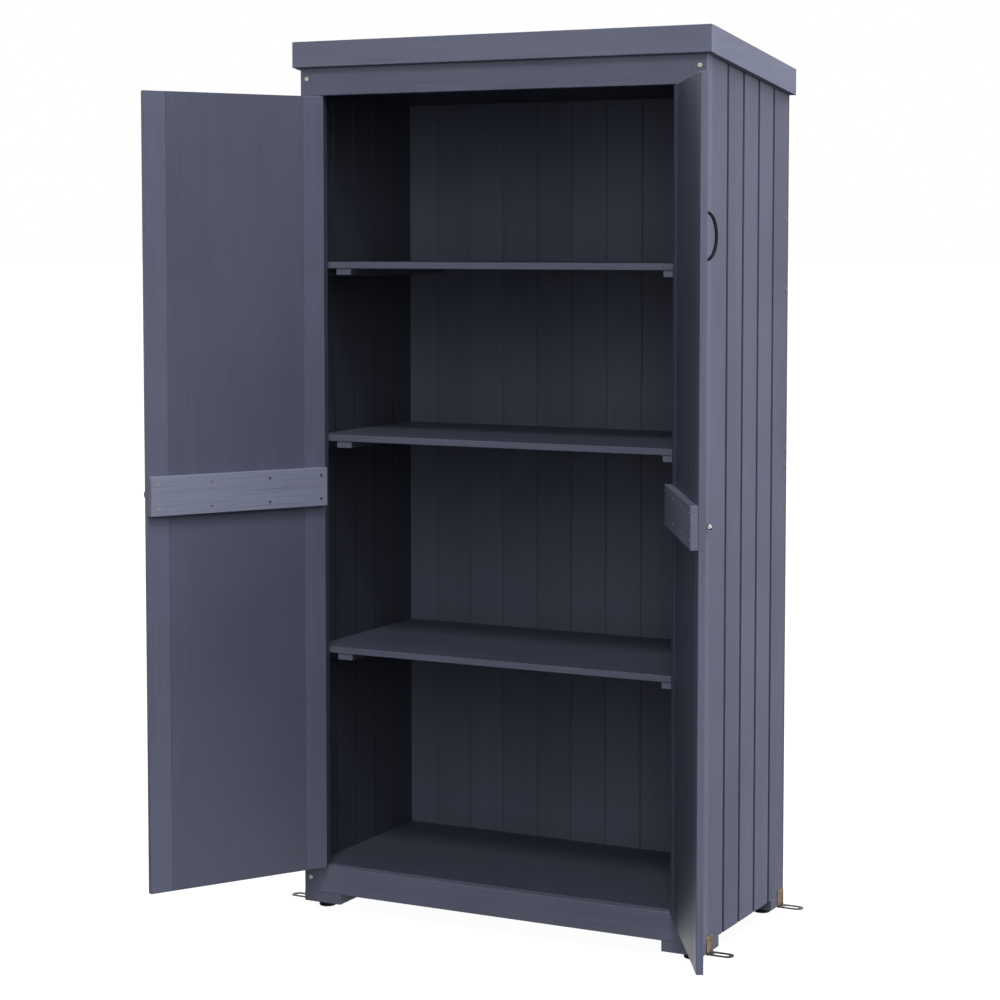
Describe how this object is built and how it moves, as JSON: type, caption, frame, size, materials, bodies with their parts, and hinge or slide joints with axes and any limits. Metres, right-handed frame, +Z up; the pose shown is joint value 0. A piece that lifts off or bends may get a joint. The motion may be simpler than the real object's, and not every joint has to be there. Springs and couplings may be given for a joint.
{
  "type": "garden storage shed",
  "caption": "Tall painted timber garden storage shed with a sloping roof, inner shelves and hinged front doors held by a sliding bolt, on corner feet with slotted ground anchors.",
  "frame": {"origin": "on the ground, in the middle of the footprint of the four feet", "axes": "+Z up, -Y towards the front with the doors, +X to the right as seen from the front"},
  "size_m": [1.188, 0.789, 1.763],
  "materials": {
    "painted_timber": "slate blue-grey paint, satin, wood grain showing faintly",
    "painted_panel": "slate blue-grey paint, satin",
    "black_plastic": "moulded, matte",
    "black_metal": "black powder coat",
    "yellow_zinc": "yellow passivated zinc",
    "hinge_steel": "bright zinc",
    "bright_steel": "bright plated",
    "roof_felt": "mineral roofing felt"
  },
  "bodies": {
    "cabinet": {"anchor_screws": "yellow_zinc", "back_panel_bottom": "painted_panel", "back_panel_lower": "painted_panel", "back_panel_top": "painted_panel", "back_panel_upper": "painted_panel", "bottom_rail": "painted_timber", "floor_bearers": "painted_timber", "floor_panel": "painted_panel", "foot_blocks": "painted_timber", "foot_pads": "black_plastic", "frame_hinge_leaves_left": "hinge_steel", "frame_hinge_leaves_right": "hinge_steel", "frame_screws": "yellow_zinc", "ground_anchor_front_left": "yellow_zinc", "ground_anchor_front_right": "yellow_zinc", "ground_anchor_rear_left": "yellow_zinc", "ground_anchor_rear_right": "yellow_zinc", "header_rail": "painted_timber", "hinge_pins": "hinge_steel", "hinge_screws_frame": "hinge_steel", "jamb_left": "painted_timber", "jamb_right": "painted_timber", "post_front_left": "painted_timber", "post_front_right": "painted_timber", "roof_deck": "painted_panel", "roof_fascia_front": "painted_timber", "roof_fascia_left": "painted_timber", "roof_fascia_right": "painted_timber", "roof_felt": "roof_felt", "roof_frame": "painted_timber", "roof_lining": "painted_panel", "shelf_battens_lower": "painted_timber", "shelf_battens_middle": "painted_timber", "shelf_battens_upper": "painted_timber", "shelf_lower": "painted_timber", "shelf_middle": "painted_timber", "shelf_upper": "painted_timber", "side_wall_left": "painted_timber", "side_wall_right": "painted_timber", "wall_cleats_left": "painted_timber", "wall_cleats_right": "painted_timber"},
    "door_left": {"door_left_free_stile": "painted_timber", "door_left_handle": "black_metal", "door_left_hardware_screws": "hinge_steel", "door_left_hinge_leaves": "hinge_steel", "door_left_hinge_stile": "painted_timber", "door_left_ledge": "painted_timber", "door_left_ledge_screws": "yellow_zinc", "door_left_panel": "painted_panel", "bolt_keeper": "bright_steel"},
    "door_right": {"door_right_free_stile": "painted_timber", "door_right_handle": "black_metal", "door_right_hardware_screws": "hinge_steel", "door_right_hinge_leaves": "hinge_steel", "door_right_hinge_stile": "painted_timber", "door_right_ledge": "painted_timber", "door_right_ledge_screws": "yellow_zinc", "door_right_panel": "painted_panel", "bolt_plate": "bright_steel"},
    "slide_bolt": {"slide_bolt": "bright_steel"}
  },
  "joints": [
    {"name": "door_left_hinge", "type": "hinge", "parent": "cabinet", "child": "door_left", "pos_m": [-0.39275, -0.2187, 0], "axis": [0, 0, 1], "range_deg": [-55, 120]},
    {"name": "door_right_hinge", "type": "hinge", "parent": "cabinet", "child": "door_right", "pos_m": [0.39275, -0.2187, 0], "axis": [0, 0, -1], "range_deg": [-55, 120]},
    {"name": "bolt_slide", "type": "slide", "parent": "door_right", "child": "slide_bolt", "axis": [0.5, -0.866, 0], "range_m": [0, 0.022]}
  ]
}
